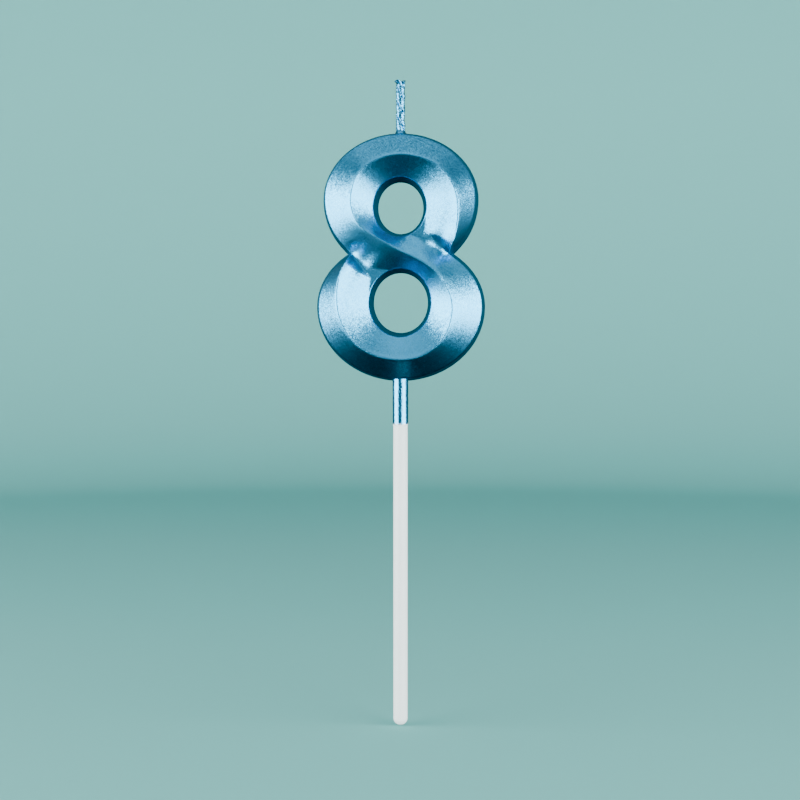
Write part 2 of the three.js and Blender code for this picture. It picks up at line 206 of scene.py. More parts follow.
class PickSettings(bpy.types.PropertyGroup):
    """Sizes of the plastic pick and of the painted collar on it."""

    end_chamfer: length("End chamfer", "Chamfer of the end that is buried in the wax", 0.3)
    clearance: length("Clearance", "Between the pick and the coat", 0.02)
    edge_wander: length("Edge wander", "How uneven the lower edge of the coat is", 0.22)
    fade: length("Fade", "Length over which the coat thins out at its lower edge", 1.3)


class FinishSettings(bpy.types.PropertyGroup):
    """Colours and grain of the finishes."""

    lacquer: colour("Lacquer", "Colour of the metallic lacquer", (0.06, 0.42, 0.68))
    lacquer_deep: colour("Deep lacquer", "Its colour where it lies thicker", (0.02, 0.26, 0.5))
    flake: length("Flake", "Size of a metal flake", 0.2)
    flake_tilt: share("Flake tilt", "How far the flakes lean out of the surface", 0.07)
    plastic: colour("Plastic", "Colour of the white pick", (0.8, 0.8, 0.81))


class StageSettings(bpy.types.PropertyGroup):
    """The floor, the lights and the camera."""

    floor: colour("Floor", "Colour of the floor and the sweep", (0.2, 0.5, 0.48))
    floor_radius: length("Floor radius", "Radius of the flat part of the floor", 520)
    sweep: length("Sweep", "Radius of the curve from the floor up to the wall", 240)
    wall: length("Wall", "Height of the wall above the sweep", 420)
    side_light: bpy.props.FloatProperty(
        name="Side lights", description="Power of each side light", default=18.0,
        min=0.0, unit="POWER")
    top_light: bpy.props.FloatProperty(
        name="Top light", description="Power of the light above", default=3.9,
        min=0.0, unit="POWER")
    lens: bpy.props.FloatProperty(
        name="Lens", description="Focal length of the camera", default=76.2,
        min=1.0, subtype="DISTANCE_CAMERA")


# ---- Meshes from arrays ------------------------------------------------------------------


def grid_faces(rows, columns, closed=False):
    """Corner numbers of the quads of a grid stored row by row; closed joins the last column
    to the first."""
    i = np.arange(rows - 1)[:, None]
    j = np.arange(columns if closed else columns - 1)[None, :]
    k = (j + 1) % columns
    corners = [i * columns + j, i * columns + k, (i + 1) * columns + k, (i + 1) * columns + j]
    return np.stack(np.broadcast_arrays(*corners), axis=-1).reshape(-1, 4)


def mesh_from_quads(name, points, quads, merge=2e-7):
    """A mesh whose coincident points are merged and whose shrunken quads become triangles."""
    mesh = bpy.data.meshes.new(name)
    mesh.from_pydata(points, [], quads)
    shape = bmesh.new()
    shape.from_mesh(mesh)
    bmesh.ops.remove_doubles(shape, verts=shape.verts, dist=merge)
    bmesh.ops.dissolve_degenerate(shape, edges=shape.edges, dist=merge)
    bmesh.ops.recalc_face_normals(shape, faces=shape.faces)
    shape.to_mesh(mesh)
    shape.free()
    return mesh


def add_piece(mesh, material, node, sharp=40):
    """Puts a mesh in the scene at the origin, riding on the candle, for the CAD node given."""
    mesh.materials.clear()
    mesh.materials.append(material)
    mesh.polygons.foreach_set("use_smooth", np.ones(len(mesh.polygons), bool))
    mesh.set_sharp_from_angle(angle=math.radians(sharp))
    piece = bpy.data.objects.new(mesh.name, mesh)
    bpy.context.scene.collection.objects.link(piece)
    if node:
        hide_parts(node)
    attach(piece, "root")
    return piece


def surface(points):
    """Points and quads of a surface given as an array of rows by columns by 3, whose last
    column joins the first."""
    rows, columns = points.shape[:2]
    return points.reshape(-1, 3), grid_faces(rows, columns, closed=True)


def ripple(u, v, seed, terms=5, lowest=1.0):
    """Smooth unevenness between about -1 and 1: a sum of sines whose directions, pitches and
    phases come from the seed, each pitch finer and weaker than the one before."""
    random = np.random.default_rng(seed)
    total = np.zeros(np.broadcast(u, v).shape)
    for k in range(terms):
        angle, phase = random.uniform(0, TURN, 2)
        pitch = lowest * 1.6**k
        wave = np.sin(pitch * (u * np.cos(angle) + v * np.sin(angle)) + phase)
        total += wave / 1.35**k
    return total / 2.2


# ---- Plan of the numeral -----------------------------------------------------------------
# Points of the plan are complex numbers, x + z i.


class Lobe:
    """Half an ellipse above the widest line and half of another below it."""

    def __init__(self, width, rise, drop, z):
        self.width, self.rise, self.drop, self.z = width, rise, drop, z

    def half_width(self, z, grow):
        """Half the width at height z of the lobe grown on all sides: the grown half width
        times the root of one less the squared share of the reach."""
        reach = np.where(z > self.z, self.rise, self.drop) + grow
        return (self.width + grow) * np.sqrt(np.clip(1 - ((z - self.z) / reach) ** 2, 0, None))


class Eye:
    """An elliptic hole."""

    def __init__(self, width, height, z):
        self.width, self.height, self.z = width, height, z
        self.centre = 1j * z

    def edge_towards(self, points, shrink=0.0):
        """Point of the shrunk eye's edge in the direction of each point from the centre: the
        offset divided by its length measured in half axes."""
        offset = points - self.centre
        scale = np.hypot(offset.real / (self.width - shrink), offset.imag / (self.height - shrink))
        return self.centre + offset / scale

    def edge(self, shrink=0.0):
        """The whole edge, closed on itself."""
        t = np.linspace(0, TURN, CURVE_SAMPLES // 2 + 1)
        around = (self.width - shrink) * np.cos(t) + 1j * (self.height - shrink) * np.sin(t)
        return self.centre + around


def mirrored(point):
    """The point on the other side of the vertical axis."""
    return -np.conjugate(point)


def spline(knots, samples):
    """Curve through the knots: a cubic between each pair, whose end slopes come from the
    neighbouring knots, with a pace set by the square root of the chords."""
    knots = np.asarray(knots)
    p = np.concatenate([[2 * knots[0] - knots[1]], knots, [2 * knots[-1] - knots[-2]]])
    pace = np.sqrt(np.abs(np.diff(p)))
    s = np.linspace(0, len(knots) - 1, samples + 1)
    k = np.minimum(s.astype(int), len(knots) - 2)
    w = s - k
    p0, p1, p2, p3 = (p[k + i] for i in range(4))
    d0, d1, d2 = (pace[k + i] for i in range(3))
    start = ((p1 - p0) / d0 - (p2 - p0) / (d0 + d1) + (p2 - p1) / d1) * d1
    end = ((p2 - p1) / d1 - (p3 - p1) / (d1 + d2) + (p3 - p2) / d2) * d1
    square = 3 * (p2 - p1) - 2 * start - end
    cube = 2 * (p1 - p2) + start + end
    return p1 + start * w + square * w**2 + cube * w**3


def nearest(curve, points):
    """For each point: how far it is from the curve, less than zero on the curve's right, and
    the curve's nearest point. The nearest corner is found first, then the nearest point on
    the two pieces that meet there."""
    flat = points.ravel()
    steps = len(curve) - 1
    blocks = np.array_split(flat, max(1, flat.size // 4000))
    corner = np.concatenate([
        ((b.real[:, None] - curve.real) ** 2 + (b.imag[:, None] - curve.imag) ** 2).argmin(1)
        for b in blocks
    ])
    start = np.stack([(corner - 1) % steps, corner % steps])
    chord = curve[start + 1] - curve[start]
    along = ((flat - curve[start]) * np.conjugate(chord)).real / np.abs(chord) ** 2
    along = np.clip(along, 0, 1)
    foot = curve[start] + chord * along
    gap = np.abs(flat - foot)
    side = np.where((np.conjugate(chord) * (flat - foot)).imag < 0, -gap, gap)
    best = gap.argmin(0)[None]
    return tuple(np.take_along_axis(values, best, 0)[0].reshape(points.shape)
                 for values in (side, foot))


def distance(curve, points):
    """How far each point is from a curve."""
    return np.abs(nearest(curve, points)[0])


def soft_min(a, b, blend):
    """The smaller of two distances, rounded into one another over the width of the blend."""
    overlap = np.clip(blend - np.abs(a - b), 0, None)
    return np.minimum(a, b) - overlap**2 / (4 * np.maximum(blend, 1e-12))


def crowded(count, both=True):
    """Shares from 0 to 1 that crowd together at both ends, or only at 0."""
    t = np.linspace(0, 1, count)
    return (1 - np.cos(math.pi * t)) / 2 if both else 1 - np.cos(math.pi / 2 * t)


class Numeral:
    """The figure 8: its outline, its eyes, its ridge and the heights of its two faces."""

    def __init__(self, s):
        low, high = NUMERAL_BOX
        self.s = s
        self.back = high.y
        self.peak = high.y - low.y
        lower_z = low.z + s.lower_drop + s.outer_draft
        upper_z = high.z - s.upper_rise - s.outer_draft
        self.upper = Lobe(s.upper_width, s.upper_rise, s.upper_drop, upper_z)
        self.lower = Lobe(s.lower_width, s.lower_rise, s.lower_drop, lower_z)
        self.upper_eye = Eye(s.upper_eye_width, s.upper_eye_height, upper_z - s.upper_eye_sink)
        self.lower_eye = Eye(s.lower_eye_width, s.lower_eye_height, lower_z + s.lower_eye_lift)
        self.ridge = self.ridge_line()

    def notch(self, grow=0.0):
        """The right-hand notch: the height at which both grown lobes are equally wide."""
        z = np.linspace(self.upper.z - self.upper.drop - grow,
                        self.lower.z + self.lower.rise + grow, 20001)
        gain = self.upper.half_width(z, grow) - self.lower.half_width(z, grow)
        height = np.interp(0, gain, z)
        return self.lower.half_width(height, grow) + 1j * height

    def outline(self, lobe, grow=0.0):
        """Outside of a grown lobe from the right notch to the left one: anticlockwise over the
        top for the upper lobe, clockwise under the bottom for the lower one."""
        notch = self.notch(grow)
        turn = 1 if lobe is self.upper else -1
        first = (lobe.drop if turn > 0 else lobe.rise) + grow
        dip = math.asin(abs(notch.imag - lobe.z) / first)
        t = turn * np.linspace(-dip, math.pi + dip, CURVE_SAMPLES + 1)
        height = np.where(np.sin(t) > 0, lobe.rise, lobe.drop) + grow
        line = (lobe.width + grow) * np.cos(t) + 1j * (lobe.z + height * np.sin(t))
        line[0], line[-1] = notch, mirrored(notch)
        return line

    def loop_knots(self, knots, lobe, eye):
        """Knots of the ridge on one loop, each between the eye's edge and the outline."""
        line = self.outline(lobe)
        angles = np.unwrap(np.angle(line - eye.centre))
        turn = np.sign(angles[-1] - angles[0])
        degrees, shares = np.array(knots, float).T
        onward = (turn * (np.radians(degrees) - angles[0])) % TURN
        rim = np.interp(onward, turn * (angles - angles[0]), line)
        edge = eye.edge_towards(rim)
        return edge + (rim - edge) * shares

    def ridge_line(self):
        """The ridge from the right notch over the top, across the waist, round the bottom and
        up to the left notch."""
        notch = self.notch()
        foot = self.lower_eye.z + self.lower_eye.height
        gap = self.upper_eye.z - self.upper_eye.height - foot
        across, up = np.array(WAIST_RIDGE).T
        return spline(np.concatenate([
            [notch],
            self.loop_knots(UPPER_RIDGE, self.upper, self.upper_eye),
            across * notch.real + 1j * (foot + up * gap),
            self.loop_knots(LOWER_RIDGE, self.lower, self.lower_eye),
            [mirrored(notch)],
        ]), CURVE_SAMPLES)

    def to_foot(self, lobe, points):
        """Distance to a lobe's outline, and to the bottom of the valley that carries it
        straight on across the waist: the lower lobe's at the right notch, the upper lobe's at
        the left one. The valley's bottom is rounded, so its distance never gets to nothing."""
        line = self.outline(lobe)[:: 1 if lobe is self.lower else -1]
        onward = (line[0] - line[1]) / abs(line[0] - line[1])
        valley = line[0] + onward * np.linspace(0, self.s.valley_reach, 60)
        to_valley = np.hypot(distance(valley, points), self.s.valley_round)
        return np.minimum(distance(line, points), to_valley)

    def front_height(self, points):
        """Height of the front over the back. On the ridge's left lie the upper eye and then
        the lower outline, on its right the upper outline and then the lower eye. A facet falls
        straight from the crest to the nearer foot on its side: its share of the climb is the
        distance to the foot over that plus the distance to the ridge. The crest falls to the
        outline's edge around each notch, where the ridge also loses its hold on the points
        beside it; where two stretches of the ridge meet at the waist, their facets run
        smoothly into one another."""
        s = self.s
        notch = self.notch()
        quarter = CURVE_SAMPLES // 4
        side, foot = nearest(self.ridge[quarter : 3 * quarter + 1], points)
        gap = np.abs(side)
        for first, last, end in (
            (0, quarter, notch), (3 * quarter, CURVE_SAMPLES, mirrored(notch)),
        ):
            other, near = nearest(self.ridge[first : last + 1], points)
            hold = np.clip(np.abs(near - end) / s.ridge_hold, 1e-3, 1)
            other = other / hold
            apart = np.clip(np.abs(foot - near) / APART - 1, 0, 1)
            closer = np.abs(other) < gap
            gap = soft_min(gap, np.abs(other), s.facet_blend * apart)
            side = np.where(closer, other, side)
            foot = np.where(closer, near, foot)
        start = np.clip(1 - np.abs(points - notch) / s.ridge_start, 0, 1) ** 2
        end = np.clip(1 - np.abs(points - mirrored(notch)) / s.ridge_end, 0, 1) ** 2
        crest = self.peak - (self.peak - s.outer_edge) * (start + end)
        climb = np.hypot(gap, s.crest_round)
        lobes, eyes = (self.lower, self.upper), (self.upper_eye, self.lower_eye)
        to_eyes = [distance(eye.edge(), points) for eye in eyes]
        outer = np.minimum(*(distance(self.outline(lobe), points) for lobe in lobes))
        inner = np.minimum(*to_eyes)
        edge = s.outer_edge + (s.eye_edge - s.outer_edge) * outer**4 / (outer**4 + inner**4)
        heights = []
        for to_eye, lobe in zip(to_eyes, lobes):
            width = np.clip(soft_min(to_eye, self.to_foot(lobe, points), gap), 0, None)
            heights.append(edge + (crest - edge) * width / (width + climb))
        lean = np.clip(0.5 + side / (2 * s.crest_round), 0, 1)
        return heights[0] * lean + heights[1] * (1 - lean)

    def back_depth(self, points):
        """How far the poured back lies under its plane: nothing at the rim, the whole sag a
        couple of millimetres inside it, and a slow ripple all over."""
        s = self.s
        rim = np.min([
            distance(self.outline(self.upper, s.outer_draft), points),
            distance(self.outline(self.lower, s.outer_draft), points),
            distance(self.upper_eye.edge(s.eye_draft), points),
            distance(self.lower_eye.edge(s.eye_draft), points),
        ], axis=0)
        settled = 1 - np.exp(-((rim / SETTLE) ** 2))
        wave = ripple(points.real / BACK_RIPPLE, points.imag / BACK_RIPPLE, seed=8)
        return settled * s.back_sag * (1 + 0.45 * wave)

    def bands(self, grow, shrink):
        """Four bands of columns that share their borders, each as the points on the line in
        the middle of the face and the points on the edge. Two lie between the outline and
        the ridge, two between an eye and the line that surrounds it; that line is the ridge
        and, where the loops meet, the straight border from a notch to the ridge."""
        count = self.s.loop_columns
        notch, front_notch = self.notch(grow), self.notch()
        places = np.arange(CURVE_SAMPLES + 1.0)
        ridge = self.ridge.copy()
        ridge[0], ridge[-1] = notch, mirrored(notch)

        def on_ridge(place):
            return np.interp(place, places, ridge)

        middle = CURVE_SAMPLES // 2
        over = np.unwrap(np.angle(self.ridge - self.upper_eye.centre))
        under = np.unwrap(np.angle(self.ridge[middle:] - self.lower_eye.centre))
        start = np.angle(front_notch - self.upper_eye.centre)
        top = np.linspace(start, math.pi - start, count + 1)
        upper_places = np.interp(top, np.maximum.accumulate(over), places)
        start = np.angle(front_notch - self.lower_eye.centre)
        bottom = np.linspace(-start, math.pi + start, count + 1)
        lower_places = np.interp(bottom, np.maximum.accumulate(-under), places[middle:])
        upper_places[0], lower_places[-1] = 0, CURVE_SAMPLES

        def on_outline(lobe, eye):
            line = self.outline(lobe, grow)
            angles = np.unwrap(np.angle(line - eye.centre))
            turn = np.sign(angles[-1] - angles[0])
            even = np.linspace(turn * angles[0], turn * angles[-1], count + 1)
            points = np.interp(even, turn * angles, line)
            points[0], points[-1] = notch, mirrored(notch)
            return points

        upper_edge = on_outline(self.upper, self.upper_eye)
        lower_edge = on_outline(self.lower, self.lower_eye)
        upper_line, lower_line = on_ridge(upper_places), on_ridge(lower_places)
        waist = on_ridge(np.linspace(upper_places[-1], lower_places[0], count // 8 + 1))
        border = crowded(self.s.facet_rows)
        right = lower_line[0] + (lower_edge[0] - lower_line[0]) * border
        left = upper_line[-1] + (upper_edge[-1] - upper_line[-1]) * border
        upper_loop = np.concatenate([upper_line, waist[1:], right[1:-1]])
        lower_loop = np.concatenate([lower_line[:-1], left[::-1][:-1], waist])[:-1]
        return [
            (upper_line, upper_edge),
            (lower_line, lower_edge),
            (upper_loop, self.upper_eye.edge_towards(upper_loop, shrink)),
            (lower_loop, self.lower_eye.edge_towards(lower_loop, shrink)),
        ]

    def band_surface(self, front, back):
        """Profile of a band carried along its columns: from the line in the middle of the
        front face out to the edge, round it, down the wall, round the back edge and in to
        the same line on the back. A rounding is the curve that leaves one side towards the
        corner and reaches the other side from it; it dies away at the notches."""
        s = self.s
        (line, edge), (back_line, back_edge) = front, back
        notch = self.notch()
        near = np.minimum(np.abs(edge - notch), np.abs(edge - mirrored(notch)))
        fade = np.clip(near / EDGE_FADE, 0, 1) ** 2

        def at(points, y):
            return np.stack([points.real, np.broadcast_to(y, points.shape), points.imag], -1)

        def trimmed(inner, outer, reach):
            span = np.abs(outer - inner)
            return np.minimum(reach * fade, 0.4 * span) / np.maximum(span, 1e-12)

        def unit(vectors):
            return vectors / np.maximum(np.linalg.norm(vectors, axis=-1, keepdims=True), 1e-12)

        def rounding(a, corner, b, count):
            t = np.linspace(0, 1, count + 2)[None, 1:-1, None]
            return ((1 - t) ** 2 * a[:, None] + 2 * t * (1 - t) * corner[:, None]
                    + t**2 * b[:, None])

        cut = trimmed(line, edge, s.edge_round)
        steps = crowded(s.facet_rows)[None]
        plan = line[:, None] + (edge - line)[:, None] * steps * (1 - cut)[:, None]
        facet = at(plan, self.back - self.front_height(plan))
        corner = at(edge, self.back - self.front_height(edge))

        back_cut = trimmed(back_line, back_edge, s.back_round)
        steps = crowded(11, both=False)[None]
        plan = back_line[:, None] + (back_edge - back_line)[:, None] * (
            1 - back_cut[:, None] - steps * (1 - back_cut)[:, None])
        floor = at(plan, self.back - self.back_depth(plan))
        back_corner = at(back_edge, self.back)

        down = unit(back_corner - corner)
        top = corner + down * (s.edge_round * fade)[:, None]
        bottom = back_corner - down * (s.back_round * fade)[:, None]
        t = np.linspace(0, 1, 5)[None, :, None]
        wall = top[:, None] * (1 - t) + bottom[:, None] * t
        return np.concatenate([
            facet,
            rounding(facet[:, -1], corner, top, 5),
            wall,
            rounding(bottom, back_corner, floor[:, 0], 4),
            floor,
        ], axis=1)

    def surfaces(self):
        """Points and quads of the whole numeral, its four bands one after another."""
        s = self.s
        fronts, backs = self.bands(0, 0), self.bands(s.outer_draft, s.eye_draft)
        points, quads, base = [], [], 0
        for k, (front, back) in enumerate(zip(fronts, backs)):
            band = self.band_surface(front, back)
            columns, rows = band.shape[:2]
            ring = grid_faces(rows, columns, closed=k > 1)
            points.append(band.transpose(1, 0, 2).reshape(-1, 3))
            quads.append(ring + base)
            base += columns * rows
        return np.concatenate(points), np.concatenate(quads)

    def top_of_wall(self, x, y):
        """Height of the outer wall at the top, at a place across and through the candle: the
        ellipse grown by the share of the draft reached at that depth."""
        front = self.back - self.s.outer_edge
        grow = self.s.outer_draft * np.clip((y - front) / self.s.outer_edge, 0, 1)
        lobe = self.upper
        return lobe.z + (lobe.rise + grow) * np.sqrt(1 - (x / (lobe.width + grow)) ** 2)


def bore(name, profile, sides=96):
    """A turned body about the pick's axis, from a profile of (radius, height)."""
    radius, height = np.array(profile, float).T
    t = np.linspace(0, TURN, sides, endpoint=False)
    points = np.stack(np.broadcast_arrays(
        radius[:, None] * np.cos(t), radius[:, None] * np.sin(t), height[:, None]), -1)
    flat, quads = surface(points)
    mesh = mesh_from_quads(name, flat, quads)
    body = bpy.data.objects.new(name, mesh)
    bpy.context.scene.collection.objects.link(body)
    return body


def cut_away(piece, cutters):
    """Subtracts the cutters from a piece and removes them."""
    for cutter in cutters:
        cut = piece.modifiers.new("cut", "BOOLEAN")
        cut.operation, cut.object, cut.solver = "DIFFERENCE", cutter, "EXACT"
    graph = bpy.context.evaluated_depsgraph_get()
    mesh = bpy.data.meshes.new_from_object(piece.evaluated_get(graph))
    mesh.name = piece.name
    piece.modifiers.clear()
    for cutter in cutters:
        bpy.data.objects.remove(cutter)
    bpy.data.objects.remove(piece)
    return mesh


# ---- Finishes ----------------------------------------------------------------------------


def add_node(tree, kind, settings=None, **inputs):
    """A node with its settings and inputs; an input that is a socket is linked."""
    made = tree.nodes.new(kind)
    for name, value in (settings or {}).items():
        setattr(made, name, value)
    for name, value in inputs.items():
        key = int(name[1:]) if name[0] == "i" and name[1:].isdigit() else name.replace("_", " ")
        socket = made.inputs[key]
        if isinstance(value, bpy.types.NodeSocket):
            tree.links.new(value, socket)
        else:
            socket.default_value = value
    return made


def new_material(name):
    """An empty node material and its shader, with the output connected."""
    material = bpy.data.materials.new(name)
    material.use_nodes = True
    tree = material.node_tree
    tree.nodes.clear()
    shader = tree.nodes.new("ShaderNodeBsdfPrincipled")
    output = tree.nodes.new("ShaderNodeOutputMaterial")
    tree.links.new(shader.outputs["BSDF"], output.inputs["Surface"])
    return material, tree, shader


def rgba(values):
    """A colour property with full opacity."""
    return (*values, 1.0)


def blue_lacquer(name, finish, roughness=(0.3, 0.37), flake=1.0, tilt=1.0, coat=0.25,
                 coat_roughness=0.25, streak=(1, 1, 1), fade=None):
    """Metallic lacquer: flat cells stand for flakes, each with its own lean and its own shade,
    under a thin clear coat. streak draws the flakes out along an axis. fade gives the height
    where the lacquer ends and the length over which it thins out to specks on the plastic."""
    material, tree, shader = new_material(name)
    place = tree.nodes.new("ShaderNodeTexCoord").outputs["Object"]
    normal = tree.nodes.new("ShaderNodeNewGeometry").outputs["Normal"]
    drawn = add_node(tree, "ShaderNodeMapping", Vector=place, Scale=streak).outputs[0]
    flakes = add_node(
        tree, "ShaderNodeTexVoronoi", Vector=drawn, Scale=1 / (finish.flake * flake))
    lean = add_node(
        tree, "ShaderNodeVectorMath", {"operation": "SUBTRACT"},
        i0=flakes.outputs["Color"], i1=(0.5, 0.5, 0.5)).outputs[0]
    lean = add_node(
        tree, "ShaderNodeVectorMath", {"operation": "SCALE"},
        i0=lean, Scale=finish.flake_tilt * tilt * 2).outputs[0]
    leaning = add_node(
        tree, "ShaderNodeVectorMath", {"operation": "ADD"}, i0=normal, i1=lean).outputs[0]
    leaning = add_node(
        tree, "ShaderNodeVectorMath", {"operation": "NORMALIZE"}, i0=leaning).outputs[0]
    tree.links.new(leaning, shader.inputs["Normal"])

    shade = add_node(tree, "ShaderNodeSeparateColor", Color=flakes.outputs["Color"])
    cloud = add_node(tree, "ShaderNodeTexNoise", Vector=drawn, Scale=320, Detail=3)
    thick = add_node(
        tree, "ShaderNodeMath", {"operation": "MULTIPLY_ADD"},
        i0=cloud.outputs["Fac"], i1=0.35, i2=shade.outputs[2])
    thick = add_node(
        tree, "ShaderNodeMapRange", Value=thick.outputs[0], From_Min=0.0, From_Max=1.35)
    tint = add_node(
        tree, "ShaderNodeMix", {"data_type": "RGBA"}, Factor=thick.outputs[0],
        i6=rgba(finish.lacquer), i7=rgba(finish.lacquer_deep)).outputs[2]
    rough = add_node(
        tree, "ShaderNodeMapRange", Value=shade.outputs[1], To_Min=roughness[0],
        To_Max=roughness[1])
    tree.links.new(rough.outputs[0], shader.inputs["Roughness"])
    shader.inputs["Metallic"].default_value = 1.0
    if fade:
        height = add_node(tree, "ShaderNodeSeparateXYZ", Vector=place).outputs["Z"]
        cover = add_node(
            tree, "ShaderNodeMapRange", Value=height, From_Min=fade[0],
            From_Max=fade[0] + fade[1]).outputs[0]
        speck = add_node(tree, "ShaderNodeTexNoise", Vector=place, Scale=4500, Detail=2)
        cover = add_node(
            tree, "ShaderNodeMath", {"operation": "ADD"}, i0=cover, i1=speck.outputs["Fac"])
        cover = add_node(
            tree, "ShaderNodeMapRange", Value=cover.outputs[0], From_Min=0.72,
            From_Max=1.0).outputs[0]
        tint = add_node(
            tree, "ShaderNodeMix", {"data_type": "RGBA"}, Factor=cover,
            i6=rgba(finish.plastic), i7=tint).outputs[2]
        tree.links.new(cover, shader.inputs["Metallic"])
    tree.links.new(tint, shader.inputs["Base Color"])
    shader.inputs["Coat Weight"].default_value = coat
    shader.inputs["Coat Roughness"].default_value = coat_roughness
    return material


def white_plastic(finish):
    """Satin white plastic: faint clouding of the colour, a fine grain and drawn-out scuffs."""
    material, tree, shader = new_material("white_plastic")
    place = tree.nodes.new("ShaderNodeTexCoord").outputs["Object"]
    cloud = add_node(tree, "ShaderNodeTexNoise", Vector=place, Scale=140, Detail=3)
    shade = tuple(0.93 * v for v in finish.plastic)
    tint = add_node(
        tree, "ShaderNodeMix", {"data_type": "RGBA"}, Factor=cloud.outputs["Fac"],
        i6=rgba(finish.plastic), i7=rgba(shade))
    tree.links.new(tint.outputs[2], shader.inputs["Base Color"])
    drawn = add_node(
        tree, "ShaderNodeMapping", Vector=place, Scale=(1, 1, 0.08)).outputs[0]
    scuff = add_node(tree, "ShaderNodeTexNoise", Vector=drawn, Scale=3200, Detail=3)
    rough = add_node(
        tree, "ShaderNodeMapRange", Value=scuff.outputs["Fac"],
        From_Min=0.3, From_Max=0.7, To_Min=0.38, To_Max=0.52)
    tree.links.new(rough.outputs[0], shader.inputs["Roughness"])
    bump = add_node(
        tree, "ShaderNodeBump", Strength=0.25, Distance=0.02 * MM,
        Height=scuff.outputs["Fac"])
    tree.links.new(bump.outputs[0], shader.inputs["Normal"])
    shader.inputs["Subsurface Weight"].default_value = 0.2
    shader.inputs["Subsurface Radius"].default_value = (1, 0.9, 0.8)
    shader.inputs["Subsurface Scale"].default_value = 0.4 * MM
    return material


# ---- Pieces ------------------------------------------------------------------------------


class CANDLE_OT_numeral(bpy.types.Operator):
    """Cast the wax numeral with its ridge, its poured back, and the bores of pick and wick"""

    bl_idname = "candle.numeral"
    bl_label = "Numeral"
    bl_options = {"REGISTER", "UNDO"}

    def execute(self, context):
        scene = context.scene
        numeral = Numeral(scene.candle_numeral)
        points, quads = numeral.surfaces()
        mesh = mesh_from_quads("numeral_cast", points, quads)
        blank = bpy.data.objects.new("numeral_cast", mesh)
        scene.collection.objects.link(blank)

        below = NUMERAL_BOX[0].z - CUTTER_OVERRUN
        above = NUMERAL_BOX[1].z + CUTTER_OVERRUN
        mouth, step = COLLAR_BOX[1].x + CAST_GAP, COLLAR_BOX[1].z + CAST_GAP
        hole, end = PICK_BOX[1].x + CAST_GAP, PICK_BOX[1].z + CAST_GAP
        socket = bore("socket", [
            (0, below), (mouth, below), (mouth, step), (hole, step), (hole, end), (0, end)])
        round_wick = scene.candle_wick.diameter / 2 + CAST_GAP
        bottom = WICK_FOOT - CAST_GAP
        channel = bore("channel", [
            (0, bottom), (round_wick, bottom), (round_wick, above), (0, above)])
        mesh = cut_away(blank, [socket, channel])
        finish = blue_lacquer("metallic_wax", scene.candle_finish)
        add_piece(mesh, finish, "numeral")
        return {"FINISHED"}


